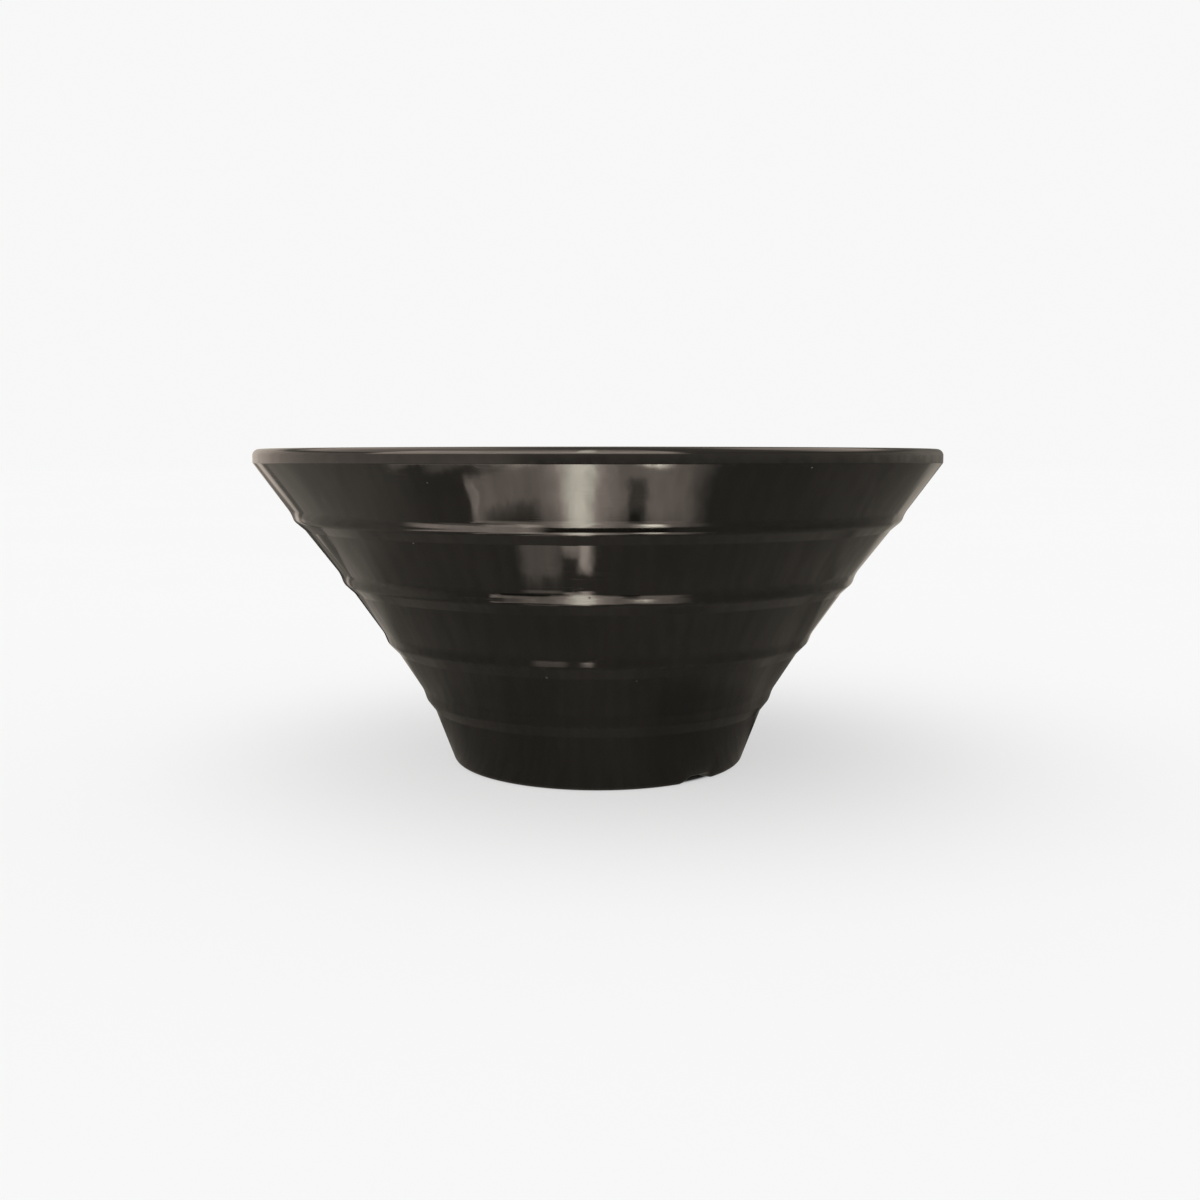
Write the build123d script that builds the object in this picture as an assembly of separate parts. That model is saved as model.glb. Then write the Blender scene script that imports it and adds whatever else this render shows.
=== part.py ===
from build123d import *
import os

os.makedirs("parts", exist_ok=True)

# Hair colour bowl: one moulding, turned about +Z, origin at the middle of the foot's
# resting face. Every length is in mm, every angle in degrees.

# rim
RIM_RADIUS = 75.0
HEIGHT = 70.0
LIP_HEIGHT = 2.9
LIP_TOP_ROUND = 1.4
LIP_INNER_ROUND = 1.0
LIP_EDGE_ROUND = 0.35

# wall and floor
WALL = 2.6
FLOOR_TOP = 5.2
FLOOR_ROUND = 6.5

# foot
FOOT_RADIUS = 32.5
FOOT_WIDTH = 3.6
FOOT_OUTER_ROUND = 1.8
FOOT_INNER_ROUND = 0.6
RECESS_DEPTH = 2.4
RECESS_DRAFT = 0.4
RECESS_ROUND = 0.9

# the four steps in the outer wall, top one first, each as (radius, height) where the short
# steep skirt starts, where it ends in a nose, and where the ledge meets the next cone
STEPS = [
    ((67.45, 56.5), (66.85, 54.8), (64.6, 52.85)),
    ((57.45, 43.4), (56.7, 41.2), (54.5, 39.15)),
    ((48.2, 30.0), (47.4, 27.9), (45.1, 25.55)),
    ((39.75, 17.1), (38.95, 14.7), (37.1, 12.3)),
]
SKIRT_ROUND = 7.0
NOSE_ROUND = 2.2
LEDGE_ROUND = 1.6
# the same three corners on the inside of the wall, where the moulding is softer
INNER_SKIRT_ROUND = 3.0
INNER_NOSE_ROUND = 2.6
INNER_LEDGE_ROUND = 3.0

# drain notches through the foot: wide at the resting face, narrower at the top
NOTCH_COUNT = 2
NOTCH_WIDTH = 9.6
NOTCH_TOP_WIDTH = 5.6
NOTCH_HEIGHT = 1.4
NOTCH_ROUND = 1.8

FULL_TURN = 360.0


def outer_corners():
    """The outside of the wall from the lip down to the foot, as (radius, height, round)."""
    corners = [
        (RIM_RADIUS, HEIGHT, LIP_TOP_ROUND),
        (RIM_RADIUS, HEIGHT - LIP_HEIGHT, LIP_EDGE_ROUND),
    ]
    for skirt, nose, ledge in STEPS:
        corners.append((*skirt, SKIRT_ROUND))
        corners.append((*nose, NOSE_ROUND))
        corners.append((*ledge, LEDGE_ROUND))
    corners.append((FOOT_RADIUS, 0.0, FOOT_OUTER_ROUND))
    return corners


def inset_line(start, end):
    """The wall line from start to end, moved by one wall thickness towards the inside."""
    along = Vector(end[0] - start[0], end[1] - start[1]).normalized()
    shift = Vector(along.Y, -along.X) * WALL
    return Vector(start[0], start[1]) + shift, along


def crossing(first, second):
    """The point where two lines, each given as (point, direction), cross."""
    (point_a, along_a), (point_b, along_b) = first, second
    gap = point_b - point_a
    turn = along_a.X * along_b.Y - along_a.Y * along_b.X
    reach = (gap.X * along_b.Y - gap.Y * along_b.X) / turn
    return point_a + along_a * reach


def inner_corners():
    """The inside of the wall from the floor up to the lip, as (radius, height, round)."""
    outer = outer_corners()
    lines = [inset_line(outer[i], outer[i + 1]) for i in range(len(outer) - 1)]
    rounds = [INNER_SKIRT_ROUND]
    rounds += [INNER_SKIRT_ROUND, INNER_NOSE_ROUND, INNER_LEDGE_ROUND] * len(STEPS)
    rim_line = (Vector(0, HEIGHT), Vector(1, 0))
    floor_line = (Vector(0, FLOOR_TOP), Vector(1, 0))
    top = crossing(lines[0], rim_line)
    corners = [(top.X, top.Y, LIP_INNER_ROUND)]
    for upper, lower, round_radius in zip(lines[:-1], lines[1:], rounds):
        corner = crossing(upper, lower)
        corners.append((corner.X, corner.Y, round_radius))
    floor_edge = crossing(lines[-1], floor_line)
    corners.append((floor_edge.X, floor_edge.Y, FLOOR_ROUND))
    return corners[::-1]


def underside_corners():
    """The resting ring of the foot and the recess inside it, as (radius, height, round)."""
    ring_inner = FOOT_RADIUS - FOOT_WIDTH
    return [
        (ring_inner, 0.0, FOOT_INNER_ROUND),
        (ring_inner - RECESS_DRAFT, RECESS_DEPTH, RECESS_ROUND),
    ]


def wall_section():
    """Half of the bowl's cross section, from the axis out to the rim and back."""
    corners = [(0.0, FLOOR_TOP, 0.0)]
    corners += inner_corners()
    corners += outer_corners()
    corners += underside_corners()
    corners.append((0.0, RECESS_DEPTH, 0.0))
    section = make_face(Polyline(*[(r, z) for r, z, _ in corners], close=True))
    for r, z, round_radius in corners:
        if round_radius > 0:
            corner = section.vertices().sort_by_distance((r, z))[0]
            section = fillet(corner, round_radius)
    return section


def notch_cutter():
    """The space of one drain notch: a low arch pushed outwards through the foot along +X."""
    top = NOTCH_TOP_WIDTH / 2
    foot = NOTCH_WIDTH / 2
    # the sides run on below the resting face, so that the cut leaves no skin there
    below = 2 * foot - top
    outline = [(top, NOTCH_HEIGHT), (below, -NOTCH_HEIGHT), (-below, -NOTCH_HEIGHT), (-top, NOTCH_HEIGHT)]
    arch = make_face(Polyline(*outline, close=True))
    top_corners = arch.vertices().group_by(Axis.Y)[-1]
    arch = fillet(top_corners, NOTCH_ROUND)
    reach = 2 * FOOT_WIDTH
    start = FOOT_RADIUS - FOOT_WIDTH - FOOT_WIDTH / 2
    return extrude(Plane.YZ.offset(start) * arch, reach)


def bowl():
    """The whole bowl: the turned wall with the notches cut through its foot."""
    body = revolve(Plane.XZ * wall_section(), Axis.Z, FULL_TURN)
    for i in range(NOTCH_COUNT):
        body -= Rot(0, 0, i * FULL_TURN / NOTCH_COUNT) * notch_cutter()
    return body


export_step(bowl(), "parts/bowl.step")
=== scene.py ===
import math

import bmesh
import bpy
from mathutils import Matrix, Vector


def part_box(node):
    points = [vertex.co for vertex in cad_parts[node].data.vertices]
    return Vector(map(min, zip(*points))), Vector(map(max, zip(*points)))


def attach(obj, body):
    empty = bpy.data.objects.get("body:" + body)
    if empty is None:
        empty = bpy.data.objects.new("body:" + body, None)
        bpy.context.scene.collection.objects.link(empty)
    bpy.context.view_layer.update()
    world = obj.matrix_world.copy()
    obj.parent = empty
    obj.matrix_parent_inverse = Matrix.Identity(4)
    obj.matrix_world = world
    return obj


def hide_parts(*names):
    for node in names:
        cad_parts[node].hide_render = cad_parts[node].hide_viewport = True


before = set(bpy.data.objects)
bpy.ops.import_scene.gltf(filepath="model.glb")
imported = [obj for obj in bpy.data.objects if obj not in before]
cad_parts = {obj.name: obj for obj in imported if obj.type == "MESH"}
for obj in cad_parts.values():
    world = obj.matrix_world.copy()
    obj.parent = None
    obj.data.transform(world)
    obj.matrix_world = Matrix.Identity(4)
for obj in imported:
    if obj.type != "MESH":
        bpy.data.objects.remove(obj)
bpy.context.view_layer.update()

MM = 0.001

# The bowl's box in the frame gives its main sizes.
_, bowl_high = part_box("bowl")
RIM_RADIUS = bowl_high.x
HEIGHT = bowl_high.z

# ---------------------------------------------------------------- the bowl's shape, in metres

LIP_HEIGHT = 2.9 * MM
LIP_TOP_ROUND = 1.4 * MM
LIP_INNER_ROUND = 1.0 * MM
LIP_EDGE_ROUND = 0.35 * MM
WALL = 2.6 * MM
FLOOR_TOP = 5.2 * MM
FLOOR_ROUND = 6.5 * MM
FOOT_RADIUS = 32.5 * MM
FOOT_WIDTH = 3.6 * MM
FOOT_OUTER_ROUND = 1.8 * MM
FOOT_INNER_ROUND = 0.6 * MM
RECESS_DEPTH = 2.4 * MM
RECESS_DRAFT = 0.4 * MM
RECESS_ROUND = 0.9 * MM

# The four steps of the outer wall, in mm, as (radius, height) where the steep skirt starts,
# at its nose, and where the ledge under the nose meets the next cone.
STEPS_MM = [
    ((67.45, 56.5), (66.85, 54.8), (64.6, 52.85)),
    ((57.45, 43.4), (56.7, 41.2), (54.5, 39.15)),
    ((48.2, 30.0), (47.4, 27.9), (45.1, 25.55)),
    ((39.75, 17.1), (38.95, 14.7), (37.1, 12.3)),
]
STEPS = [tuple((r * MM, z * MM) for r, z in step) for step in STEPS_MM]
OUTER_ROUNDS = (7.0 * MM, 2.2 * MM, 1.6 * MM)
INNER_ROUNDS = (3.0 * MM, 2.6 * MM, 3.0 * MM)

NOTCH_COUNT = 2
NOTCH_WIDTH = 9.6 * MM
NOTCH_HEIGHT = 1.4 * MM
NOTCH_SHOULDER = 2.4 * MM

COLUMNS = 288
ARC_STEP = math.radians(2.5)
FEWEST_ARC_STEPS = 3
LONGEST_RUN = 3.0 * MM
ON_AXIS = 1e-9


def outer_corners():
    """The outside from the lip down to the foot, as (point, round)."""
    corners = [
        (Vector((RIM_RADIUS, HEIGHT)), LIP_TOP_ROUND),
        (Vector((RIM_RADIUS, HEIGHT - LIP_HEIGHT)), LIP_EDGE_ROUND),
    ]
    for step in STEPS:
        for point, round_radius in zip(step, OUTER_ROUNDS):
            corners.append((Vector(point), round_radius))
    corners.append((Vector((FOOT_RADIUS, 0)), FOOT_OUTER_ROUND))
    return corners


def inset_line(start, end):
    """The wall line from start to end, moved inwards by one wall thickness."""
    along = (end - start).normalized()
    return start + Vector((along.y, -along.x)) * WALL, along


def crossing(first, second):
    """The point where two lines, each given as (point, direction), cross."""
    gap = second[0] - first[0]
    turn = first[1].x * second[1].y - first[1].y * second[1].x
    return first[0] + first[1] * ((gap.x * second[1].y - gap.y * second[1].x) / turn)


def inner_corners():
    """The inside from the floor up to the lip, as (point, round)."""
    points = [point for point, _ in outer_corners()]
    lines = [inset_line(a, b) for a, b in zip(points[:-1], points[1:])]
    rounds = [INNER_ROUNDS[0], *(INNER_ROUNDS * len(STEPS))]
    level = Vector((1, 0))
    corners = [(crossing(lines[0], (Vector((0, HEIGHT)), level)), LIP_INNER_ROUND)]
    for upper, lower, round_radius in zip(lines[:-1], lines[1:], rounds):
        corners.append((crossing(upper, lower), round_radius))
    corners.append((crossing(lines[-1], (Vector((0, FLOOR_TOP)), level)), FLOOR_ROUND))
    return corners[::-1]


def section_corners():
    """The half section, from the middle of the floor round to the middle of the underside."""
    ring_inner = FOOT_RADIUS - FOOT_WIDTH
    corners = [(Vector((0, FLOOR_TOP)), 0)]
    corners += inner_corners() + outer_corners()
    corners.append((Vector((ring_inner, 0)), FOOT_INNER_ROUND))
    corners.append((Vector((ring_inner - RECESS_DRAFT, RECESS_DEPTH)), RECESS_ROUND))
    corners.append((Vector((0, RECESS_DEPTH)), 0))
    return corners


def arc_points(before, corner, after, round_radius):
    """Points of the arc that rounds one corner of the section."""
    back = (before - corner).normalized()
    ahead = (after - corner).normalized()
    half_angle = back.angle(ahead) / 2
    reach = round_radius / math.tan(half_angle)
    centre = corner + (back + ahead).normalized() * (round_radius / math.sin(half_angle))
    start = corner + back * reach - centre
    turn = start.angle_signed(corner + ahead * reach - centre)
    count = max(FEWEST_ARC_STEPS, math.ceil(abs(turn) / ARC_STEP))
    points = []
    for i in range(count + 1):
        angle = -turn * i / count
        cosine, sine = math.cos(angle), math.sin(angle)
        points.append(centre + Vector((start.x * cosine - start.y * sine,
                                       start.x * sine + start.y * cosine)))
    return points


def section_points():
    """The half section with its corners rounded and its long runs divided."""
    corners = section_corners()
    rounded = [corners[0][0]]
    for i in range(1, len(corners) - 1):
        corner, round_radius = corners[i]
        rounded += arc_points(corners[i - 1][0], corner, corners[i + 1][0], round_radius)
    rounded.append(corners[-1][0])
    points = [rounded[0]]
    for start, end in zip(rounded[:-1], rounded[1:]):
        count = max(1, math.ceil((end - start).length / LONGEST_RUN))
        points += [start.lerp(end, i / count) for i in range(1, count + 1)]
    return points


def smooth_step(low, high, value):
    """0 below low, 1 above high, and a soft curve between."""
    t = min(1.0, max(0.0, (value - low) / (high - low)))
    return t * t * (3 - 2 * t)


def notch_lift(angle):
    """How far a drain notch raises the foot's resting face at this angle about the axis."""
    pitch = math.tau / NOTCH_COUNT
    from_notch = abs((angle + pitch / 2) % pitch - pitch / 2)
    across = FOOT_RADIUS * math.sin(min(from_notch, math.pi / 2))
    half = NOTCH_WIDTH / 2
    return NOTCH_HEIGHT * (1 - smooth_step(half - NOTCH_SHOULDER, half, across))


def bowl_mesh():
    """The bowl turned from its section, with the notches pressed up into the foot."""
    section = section_points()
    mesh = bpy.data.meshes.new("bowl_shell")
    shape = bmesh.new()
    rows = []
    for point in section:
        if point.x < ON_AXIS:
            rows.append([shape.verts.new((0, 0, point.y))])
            continue
        row = []
        for i in range(COLUMNS):
            angle = math.tau * i / COLUMNS
            z = point.y
            in_foot = point.x > FOOT_RADIUS - FOOT_WIDTH - RECESS_DRAFT - RECESS_ROUND
            if z < RECESS_DEPTH and in_foot:
                z += notch_lift(angle) * (1 - z / RECESS_DEPTH)
            row.append(shape.verts.new((point.x * math.cos(angle), point.x * math.sin(angle), z)))
        rows.append(row)
    for upper, lower in zip(rows[:-1], rows[1:]):
        for i in range(COLUMNS):
            j = (i + 1) % COLUMNS
            if len(upper) == 1:
                shape.faces.new((upper[0], lower[i], lower[j]))
            elif len(lower) == 1:
                shape.faces.new((upper[i], lower[0], upper[j]))
            else:
                shape.faces.new((upper[i], lower[i], lower[j], upper[j]))
    bmesh.ops.recalc_face_normals(shape, faces=shape.faces)
    for face in shape.faces:
        face.smooth = True
    shape.to_mesh(mesh)
    shape.free()
    return mesh


# ---------------------------------------------------------------- node helpers

class Nodes:
    """A short way to write a node tree."""

    def __init__(self, tree):
        self.tree = tree
        tree.nodes.clear()

    def add(self, kind, inputs=None, **settings):
        node = self.tree.nodes.new("ShaderNode" + kind)
        for name, value in settings.items():
            setattr(node, name, value)
        for name, value in (inputs or {}).items():
            if isinstance(value, bpy.types.NodeSocket):
                self.tree.links.new(value, node.inputs[name])
            else:
                node.inputs[name].default_value = value
        return node

    def math(self, operation, *values, clamp=False):
        node = self.add("Math", dict(enumerate(values)), operation=operation, use_clamp=clamp)
        return node.outputs[0]

    def noise(self, place, scale, detail=2.0, roughness=0.5):
        node = self.add("TexNoise", {"Vector": place, "Scale": scale, "Detail": detail,
                                     "Roughness": roughness})
        return node.outputs["Fac"]

    def stretched(self, place, along, up):
        """The place with its level and upright scales changed, so that noise on it runs round."""
        node = self.add("Mapping", {"Vector": place, "Scale": (along, along, up)})
        return node.outputs[0]

    def range(self, value, low, high, to_low=0.0, to_high=1.0):
        node = self.add("MapRange", {"Value": value, "From Min": low, "From Max": high,
                                     "To Min": to_low, "To Max": to_high},
                        interpolation_type="SMOOTHSTEP")
        return node.outputs[0]

    def mix(self, factor, first, second):
        node = self.add("Mix", data_type="RGBA")
        for slot, value in ((0, factor), (6, first), (7, second)):
            if isinstance(value, bpy.types.NodeSocket):
                self.tree.links.new(value, node.inputs[slot])
            else:
                node.inputs[slot].default_value = value
        return node.outputs[2]


def new_material(name):
    material = bpy.data.materials.new(name)
    material.use_nodes = True
    return material, Nodes(material.node_tree)


# ---------------------------------------------------------------- materials

PLASTIC_DEEP = (0.0062, 0.0056, 0.0046, 1)
PLASTIC_WARM = (0.0097, 0.0083, 0.0067, 1)
PLASTIC_IOR = 1.5
SCUFF_COLOUR = (0.042, 0.036, 0.030, 1)
DUST_COLOUR = (0.16, 0.15, 0.14, 1)

# Noise scales of the plastic's detail, per metre. A pair is (level, upright), so that the
# detail is drawn out round the bowl.
CLOUD_SCALE = 38
WIPE_SCALE = (30, 420)
SMUDGE_SCALE = 26
HAIRLINE_SCALE = (45, 900)
HAIRLINE_AREA_SCALE = 90
BREAKUP_SCALE = 520
SPECK_SCALE = 260
SWAY_SCALE = 22
PEEL_SCALE = 330

HAIRLINE_WIDTH = 0.006
WEAR_REACH = 0.9 * MM
SPECK_SIZE = (0.03, 0.075)
SPECK_SHARE = 0.035

# how far wear and dust change the colour
WEAR_TINT = 0.12
DUST_TINT = 0.6

# roughness of the polish, and what each mark adds to it
POLISH = (0.045, 0.095)
SMUDGE_DULL = 0.05
HAIRLINE_DULL = 0.14
WEAR_DULL = 0.10
DUST_DULL = 0.5

# heights of the relief, in mm
SWAY_HEIGHT = 0.030
PEEL_HEIGHT = 0.0011
GRAIN_HEIGHT = 0.0015
HAIRLINE_DEPTH = 0.0016
DUST_HEIGHT = 0.01

FLOOR_DULL = (0.37, 0.37, 0.37, 1)
FLOOR_PALE = (0.39, 0.39, 0.39, 1)
FLOOR_CLOUD_SCALE = 3.0
TABLE_LAMP = 0.56
# painted shadow under the bowl: how far inside the foot's edge the floor's glow is fully cut out, and
# where it is whole again
PAINTED_SHADOW_INSETS = (2.5 * MM, 1.0 * MM)


def edge_wear(nodes, height, breakup):
    """Where hands, stacking and the worktop have rubbed the plastic: lip, noses and foot."""
    edges = [HEIGHT, HEIGHT - LIP_HEIGHT] + [step[1][1] for step in STEPS] + [0.0]
    total = None
    for edge in edges:
        away = nodes.math("ABSOLUTE", nodes.math("SUBTRACT", height, edge))
        band = nodes.range(away, WEAR_REACH, 0.0)
        total = band if total is None else nodes.math("MAXIMUM", total, band)
    return nodes.math("MULTIPLY", total, breakup, clamp=True)


def plastic():
    """Glossy, very dark plastic with polish streaks, fine scratches, dust and rubbed edges."""
    material, nodes = new_material("gloss_plastic")
    place = nodes.add("TexCoord").outputs["Object"]
    height = nodes.add("SeparateXYZ", {"Vector": place}).outputs["Z"]

    cloud = nodes.noise(place, CLOUD_SCALE, 4, 0.6)
    wipe = nodes.noise(nodes.stretched(place, *WIPE_SCALE), 1.0, 4, 0.65)
    smudge = nodes.range(nodes.noise(place, SMUDGE_SCALE, 5, 0.62), 0.52, 0.70)
    hairline_noise = nodes.noise(nodes.stretched(place, *HAIRLINE_SCALE), 1.0, 1.5, 0.4)
    hairline_gap = nodes.math("ABSOLUTE", nodes.math("SUBTRACT", hairline_noise, 0.5))
    hairline = nodes.range(hairline_gap, HAIRLINE_WIDTH, 0.0)
    hairline_area = nodes.range(nodes.noise(place, HAIRLINE_AREA_SCALE, 2), 0.5, 0.62)
    hairline = nodes.math("MULTIPLY", hairline, hairline_area)
    breakup = nodes.range(nodes.noise(place, BREAKUP_SCALE, 4, 0.7), 0.46, 0.66)
    wear = edge_wear(nodes, height, breakup)

    specks = nodes.add("TexVoronoi", {"Vector": place, "Scale": SPECK_SCALE, "Randomness": 1.0})
    speck_chance = nodes.add("SeparateColor", {"Color": specks.outputs["Color"]}).outputs[0]
    chosen = nodes.math("GREATER_THAN", speck_chance, 1 - SPECK_SHARE)
    speck_core, speck_edge = SPECK_SIZE
    speck = nodes.range(specks.outputs["Distance"], speck_edge, speck_core)
    dust = nodes.math("MULTIPLY", speck, chosen)

    colour = nodes.mix(nodes.range(cloud, 0.35, 0.68), PLASTIC_DEEP, PLASTIC_WARM)
    colour = nodes.mix(nodes.math("MULTIPLY", wear, WEAR_TINT), colour, SCUFF_COLOUR)
    colour = nodes.mix(nodes.math("MULTIPLY", dust, DUST_TINT), colour, DUST_COLOUR)

    gloss = nodes.range(wipe, 0.3, 0.75, *POLISH)
    marks = ((smudge, SMUDGE_DULL), (hairline, HAIRLINE_DULL), (wear, WEAR_DULL), (dust, DUST_DULL))
    for mark, dull in marks:
        gloss = nodes.math("ADD", gloss, nodes.math("MULTIPLY", mark, dull), clamp=True)

    sway = nodes.math("MULTIPLY", nodes.noise(place, SWAY_SCALE, 1.0), SWAY_HEIGHT)
    peel = nodes.math("MULTIPLY", nodes.noise(place, PEEL_SCALE, 2.0), PEEL_HEIGHT)
    grain = nodes.math("MULTIPLY", breakup, nodes.math("MULTIPLY", wear, GRAIN_HEIGHT))
    relief = nodes.math("ADD", nodes.math("ADD", sway, peel), grain)
    relief = nodes.math("SUBTRACT", relief, nodes.math("MULTIPLY", hairline, HAIRLINE_DEPTH))
    relief = nodes.math("ADD", relief, nodes.math("MULTIPLY", dust, DUST_HEIGHT))
    bump = nodes.add("Bump", {"Height": relief, "Distance": MM, "Strength": 1.0})

    shader = nodes.add("BsdfPrincipled", {
        "Base Color": colour, "Roughness": gloss, "Normal": bump.outputs[0], "IOR": PLASTIC_IOR})
    nodes.add("OutputMaterial", {"Surface": shader.outputs[0]})
    return material


def light_table():
    """Pale matt acrylic of a light table, a little uneven, lit from below; under the bowl its glow is
    cut out, a painted shadow.
    """
    material, nodes = new_material("pale_floor")
    place = nodes.add("TexCoord").outputs["Object"]
    cloud = nodes.noise(place, FLOOR_CLOUD_SCALE, 4, 0.6)
    from_axis = nodes.add("VectorMath", {0: place}, operation="LENGTH").outputs["Value"]
    painted_shadow_full, painted_shadow_end = (FOOT_RADIUS - inset for inset in PAINTED_SHADOW_INSETS)
    # the floor's glow fades to nothing under the bowl: a painted shadow
    glow_with_painted_shadow = nodes.range(from_axis, painted_shadow_full, painted_shadow_end, 0.0, TABLE_LAMP)
    colour = nodes.mix(cloud, FLOOR_DULL, FLOOR_PALE)
    paint = nodes.add("BsdfDiffuse", {"Color": colour})
    light = nodes.add("Emission", {"Color": (1, 1, 1, 1), "Strength": glow_with_painted_shadow})
    both = nodes.add("AddShader", {0: paint.outputs[0], 1: light.outputs[0]})
    nodes.add("OutputMaterial", {"Surface": both.outputs[0]})
    return material


# ---------------------------------------------------------------- the bowl

def add_object(name, mesh, material):
    thing = bpy.data.objects.new(name, mesh)
    bpy.context.scene.collection.objects.link(thing)
    mesh.materials.append(material)
    return thing


bowl = add_object("bowl_shell", bowl_mesh(), plastic())
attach(bowl, "root")
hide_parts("bowl")

# ---------------------------------------------------------------- camera

CAMERA_TURN = math.radians(49)
CAMERA_DISTANCE = 286 * MM
CAMERA_HEIGHT = 68.0 * MM
CAMERA_TILT = math.radians(6.385)
CAMERA_YAW = math.radians(-0.09)
CLIP_START = 10 * MM
# in mm of film
SENSOR_WIDTH = 36.0
LENS = 37.91


def about_axis(right, forward, up):
    """A point given as seen from the camera: to the right of the bowl's axis, beyond it, and up."""
    cosine, sine = math.cos(CAMERA_TURN), math.sin(CAMERA_TURN)
    return Vector((right * cosine - forward * sine, right * sine + forward * cosine, up))


def add_camera():
    data = bpy.data.cameras.new("camera")
    data.sensor_width = SENSOR_WIDTH
    data.lens = LENS
    data.clip_start = CLIP_START
    camera = bpy.data.objects.new("camera", data)
    camera.location = about_axis(0, -CAMERA_DISTANCE, CAMERA_HEIGHT)
    camera.rotation_euler = (math.pi / 2 - CAMERA_TILT, 0, CAMERA_TURN + CAMERA_YAW)
    bpy.context.scene.collection.objects.link(camera)
    bpy.context.scene.camera = camera


add_camera()

# ---------------------------------------------------------------- floor and light

STAGE_REACH = 8.0
STAGE_COLUMNS = 96
SPHERE_ROWS = 24
PAPER_WHITE = 0.935
AIR_LIGHT = 0.52
SUN_PLACE = (-0.4, -0.5, 2.0)
SUN_POWER = 1.6
SUN_SPREAD = math.radians(80)

ROOM_REACH = 3.0
TABLE_REACH = 140 * MM
TABLE_HEIGHT = 0.3 * MM

# How the patches' edges waver: the noise scale per metre, then how far the noise moves a place
# round the bowl in degrees, and out from it in mm or up in degrees. The second of these two
# noises is finer than the first.
TABLE_WAVER = (150.0, 6.0, 4.0)
ROOM_WAVER = (2.5, 6.0, 6.0)
FINER_WAVER = 1.7
# Streaks across the patches: noise scales per degree round the bowl and per step out or up.
TABLE_STREAKS = (0.28, 0.05)
ROOM_STREAKS = (0.25, 0.05)
STREAK_GAIN = (0.87, 1.13)
GLOW_DIM = (1.0, 0.91, 0.78, 1)
GLOW_ROSY = (1.0, 0.84, 0.73, 1)
GLOW_CREAM = (1.0, 0.93, 0.78, 1)

# What the gloss shows of the table round the bowl, as patches of light. Each has
# (from, to, softness of the first edge, of the second) in degrees round the bowl, counted to
# the right from the camera's side, then the same in mm from the bowl's axis, and last the
# light that the patch adds.
TABLE_BASE = 0.22
TABLE_PATCHES = [
    ((-34, 27, 3, 10), (86, 98.8, 6, 1.2), 1.6),
    ((-29, 27, 14, 12), (98.8, 113, 1.2, 4), 1.6),
    ((-22, -16, 5, 5), (100.4, 113, 1.2, 4), 3.4),
    ((-33, -23, 4, 5), (104.5, 112, 3, 3), 2.0),
    ((-12.2, 3.6, 9, 9), (83, 113, 4, 4), 2.1),
    ((-8.0, -1.7, 5.5, 5), (80, 113, 2, 4), 6.2),
    ((-5.6, -1.6, 2.4, 3), (69.8, 80, 2.5, 2), 4.4),
    ((-11, -6.0, 3, 2.4), (73.6, 80, 1.6, 2), 2.6),
    ((11, 18, 5, 6), (99.4, 113, 1.2, 4), 7.0),
    ((12.5, 17.5, 3, 4), (100, 107, 0.8, 4), 6.0),
    ((14, 19, 3, 6), (84, 97, 3, 3), 0.5),
    ((8, 13, 2.5, 2.5), (83, 94.5, 3, 3), -1.25),
    ((-32, -16, 3, 5), (83, 90, 4, 3), -1.3),
    ((-46, -34, 8, 1.5), (104, 110, 3, 6), 0.8),
    ((-36, -33.4, 1.2, 1.2), (88, 99, 6, 5), 1.9),
    ((-56, -16, 12, 8), (112, 134, 6, 6), 2.6),
    ((-24, -11.5, 5, 5), (69, 77, 4, 3), 0.95),
    ((-15, 19, 4, 7), (114, 140, 2, 2), -0.4),
    ((-150, -56, 10, 24), (96, 150, 24, 1), 0.2),
    # Painted shade: the next four darker patches, reaching in to 28 mm from the axis, are the table
    # darkened round and under the bowl as the gloss shows it.
    ((-172, -100, 8, 20), (28, 84, 3, 12), -0.05),
    ((100, 172, 20, 8), (28, 108, 3, 12), -0.10),
    ((18, 180, 24, 10), (28, 52, 6, 8), -0.085),
    ((-180, -18, 10, 24), (28, 52, 6, 8), -0.055),
    ((164, 200, 10, 10), (84, 114, 5, 4), 0.7),
    ((-200, -170, 10, 10), (84, 114, 5, 4), 0.7),
    ((172, 178, 3, 3), (85, 113, 4, 4), 0.5),
]

# The same for the rest of the room, with degrees above the floor in place of mm.
ROOM_BASE = 0.20
ROOM_PATCHES = [
    ((-143, -25, 2, 20), (-60, -2, 12, 6), 0.22),
    ((-152, -25, 50, 16), (-10, 24, 8, 8), 0.80),
    ((-25, 140, 16, 40), (1, 24, 4, 8), 0.35),
    ((-25, 140, 16, 40), (-14, 1, 6, 4), 0.10),
    ((141, 176, 10, 10), (-12.5, -4, 4, 3), 0.28),
    ((-200, -140, 16, 40), (-3, 24, 3, 8), 0.25),
    ((-151.5, -147.5, 1.2, 1.2), (-16, -3, 3, 4), 0.5),
    ((-200, -153.5, 2, 1.5), (-11, -3, 4, 3), -0.30),
    ((-76, 26, 8, 8), (18, 50, 14, 8), 4.0),
    ((-76, 26, 8, 8), (50, 74, 8, 8), 1.6),
    ((-160, -76, 20, 8), (32, 72, 8, 8), 1.0),
    ((-7, -1, 2, 2), (30, 72, 8, 8), 4.0),
    ((-200, 200, 1, 1), (30, 91, 12, 1), 0.35),
    ((90, 150, 16, 16), (36, 66, 10, 10), 1.5),
]


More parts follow.
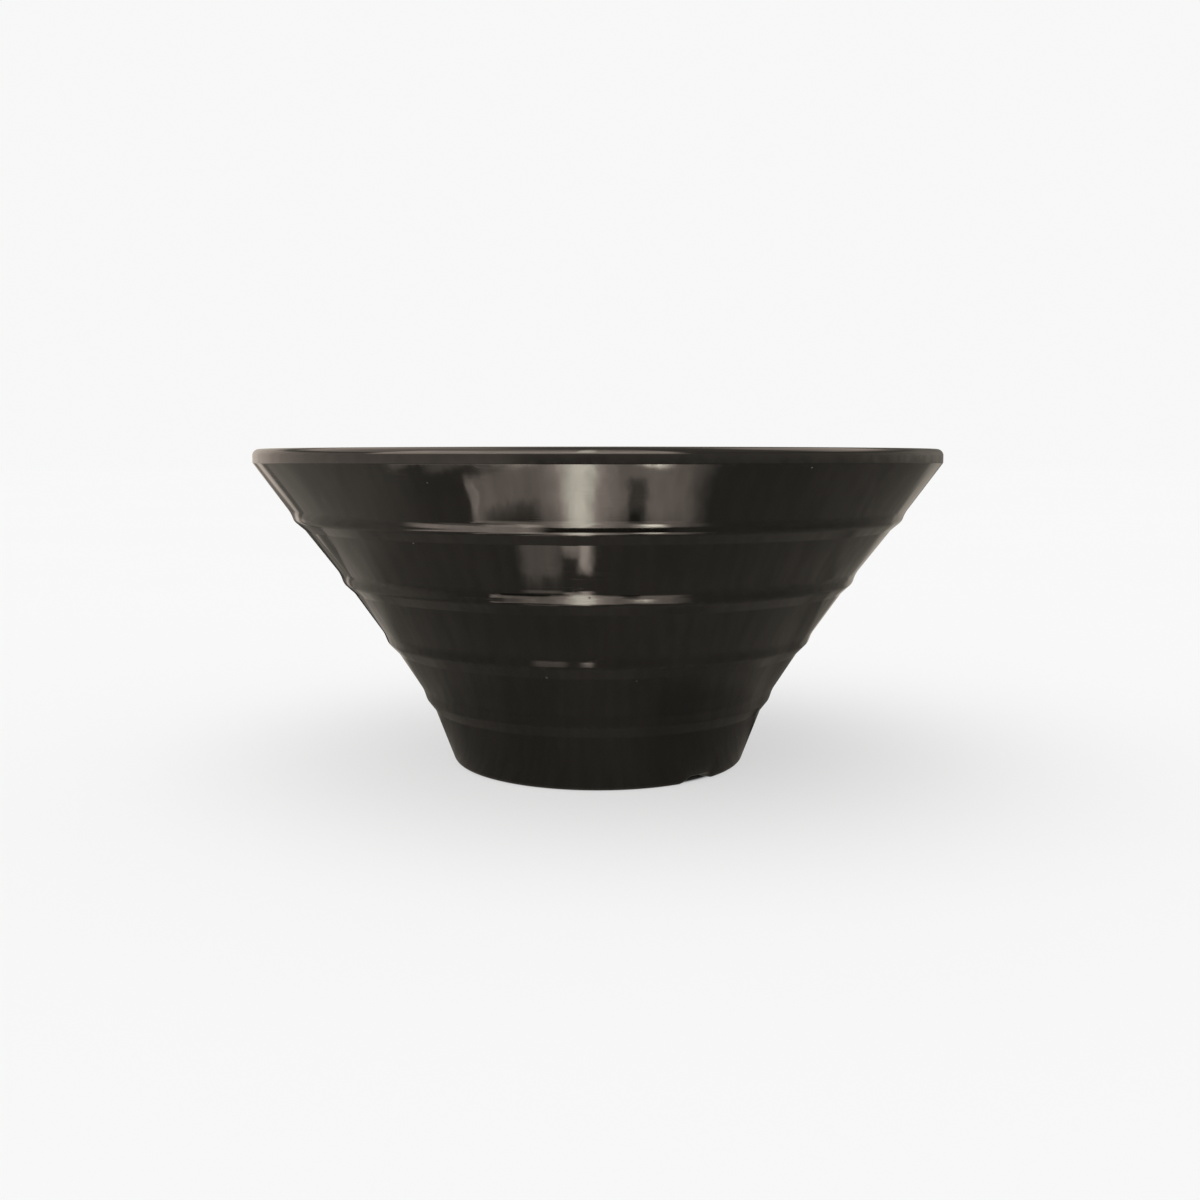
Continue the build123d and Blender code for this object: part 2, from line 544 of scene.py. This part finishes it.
def add_stage(name, rows, material):
    """A stage surface turned about +Z from rows of (radius, height), closed inside the first row."""
    mesh = bpy.data.meshes.new(name)
    shape = bmesh.new()
    rings = []
    for radius, z in rows:
        rings.append([shape.verts.new((radius * math.cos(math.tau * i / STAGE_COLUMNS),
                                       radius * math.sin(math.tau * i / STAGE_COLUMNS), z))
                      for i in range(STAGE_COLUMNS)])
    for lower, upper in zip(rings[:-1], rings[1:]):
        for i in range(STAGE_COLUMNS):
            j = (i + 1) % STAGE_COLUMNS
            shape.faces.new((lower[i], lower[j], upper[j], upper[i]))
    shape.faces.new(rings[0])
    shape.to_mesh(mesh)
    shape.free()
    thing = add_object(name, mesh, material)
    return thing


def sphere_rows(radius, lowest):
    """Rows of (radius, height) for a sphere from its top down to the lowest angle."""
    angles = [math.pi / 2 + (lowest - math.pi / 2) * i / SPHERE_ROWS for i in range(SPHERE_ROWS + 1)]
    return [(radius * math.cos(angle), radius * math.sin(angle)) for angle in angles]


def paper_glow():
    """Even light given off by the backdrop."""
    material, nodes = new_material("backdrop_paper")
    light = nodes.add("Emission", {"Color": (1, 1, 1, 1), "Strength": PAPER_WHITE})
    nodes.add("OutputMaterial", {"Surface": light.outputs[0]})
    return material


def within(nodes, value, limits):
    """1 between two limits and 0 outside them, with a soft edge centred on each."""
    low, high, soft_low, soft_high = limits
    above = nodes.range(value, low - soft_low / 2, low + soft_low / 2)
    below = nodes.range(value, high + soft_high / 2, high - soft_high / 2)
    return nodes.math("MULTIPLY", above, below)


def patch_glow(name, base, patches, by_height, waver, streaks):
    """Light that the gloss shows: a dim base, and soft patches placed by turn and reach or height."""
    material, nodes = new_material(name)
    place = nodes.add("TexCoord").outputs["Object"]
    axes = nodes.add("SeparateXYZ", {"Vector": place})
    across, away = axes.outputs["X"], nodes.math("MULTIPLY", axes.outputs["Y"], -1)
    turn = nodes.math("DEGREES", nodes.math("ARCTAN2", across, away))
    level = nodes.math("SQRT", nodes.math("ADD", nodes.math("MULTIPLY", across, across),
                                          nodes.math("MULTIPLY", away, away)))
    if by_height:
        reach = nodes.math("DEGREES", nodes.math("ARCTAN2", axes.outputs["Z"], level))
    else:
        reach = nodes.math("DIVIDE", level, MM)
    waver_scale, turn_waver, reach_waver = waver
    first = nodes.math("SUBTRACT", nodes.noise(place, waver_scale, 3, 0.55), 0.5)
    second = nodes.math("SUBTRACT", nodes.noise(place, FINER_WAVER * waver_scale, 3, 0.55), 0.5)
    turn = nodes.math("MULTIPLY_ADD", first, turn_waver, turn)
    reach = nodes.math("MULTIPLY_ADD", second, reach_waver, reach)

    total = base
    for turn_limits, reach_limits, strength in patches:
        patch = nodes.math("MULTIPLY", within(nodes, turn, turn_limits),
                           within(nodes, reach, reach_limits))
        total = nodes.math("MULTIPLY_ADD", patch, strength, total)
    streak_place = nodes.add("CombineXYZ", {
        0: nodes.math("MULTIPLY", turn, streaks[0]),
        1: nodes.math("MULTIPLY", reach, streaks[1])}).outputs[0]
    streak = nodes.range(nodes.noise(streak_place, 1.0, 4, 0.6), 0.3, 0.7, *STREAK_GAIN)
    total = nodes.math("MAXIMUM", nodes.math("MULTIPLY", total, streak), 0.0)

    colour = nodes.mix(nodes.range(total, 0.3, 1.2), GLOW_DIM, GLOW_ROSY)
    colour = nodes.mix(nodes.range(total, 2.5, 8.0), colour, GLOW_CREAM)
    light = nodes.add("Emission", {"Color": colour, "Strength": total})
    nodes.add("OutputMaterial", {"Surface": light.outputs[0]})
    return material


def only_in_reflections(thing):
    """The piece of stage shows in the gloss and nowhere else."""
    thing.visible_camera = False
    thing.visible_diffuse = False
    thing.visible_shadow = False
    thing.visible_transmission = False


def add_sun(name, place, aim):
    data = bpy.data.lights.new(name, "SUN")
    data.energy = SUN_POWER
    data.angle = SUN_SPREAD
    light = bpy.data.objects.new(name, data)
    light.location = place
    light.rotation_euler = (aim - place).to_track_quat("-Z", "Y").to_euler()
    light.visible_camera = False
    light.visible_glossy = False
    bpy.context.scene.collection.objects.link(light)


floor = add_stage("studio_floor", [(STAGE_REACH, 0.0)], light_table())
floor.visible_glossy = False

backdrop = add_stage("backdrop", sphere_rows(STAGE_REACH, 0.0), paper_glow())
backdrop.visible_diffuse = False
backdrop.visible_glossy = False
backdrop.visible_shadow = False

table = add_stage("table_in_gloss", [(TABLE_REACH, TABLE_HEIGHT)],
                  patch_glow("table_glow", TABLE_BASE, TABLE_PATCHES, False,
                             TABLE_WAVER, TABLE_STREAKS))
room = add_stage("room_in_gloss", sphere_rows(ROOM_REACH, -math.pi / 2),
                 patch_glow("room_glow", ROOM_BASE, ROOM_PATCHES, True,
                            ROOM_WAVER, ROOM_STREAKS))
for thing in (table, room):
    thing.rotation_euler = (0, 0, CAMERA_TURN)
    only_in_reflections(thing)

middle = Vector((0, 0, HEIGHT / 2))
add_sun("soft_overhead", about_axis(*SUN_PLACE), middle)

world = bpy.data.worlds.new("studio_air")
world.use_nodes = True
air = Nodes(world.node_tree)
sky = air.add("Background", {"Color": (1, 1, 1, 1), "Strength": AIR_LIGHT})
air.add("OutputWorld", {"Surface": sky.outputs[0]})
bpy.context.scene.world = world

bpy.context.scene.view_settings.view_transform = "Standard"
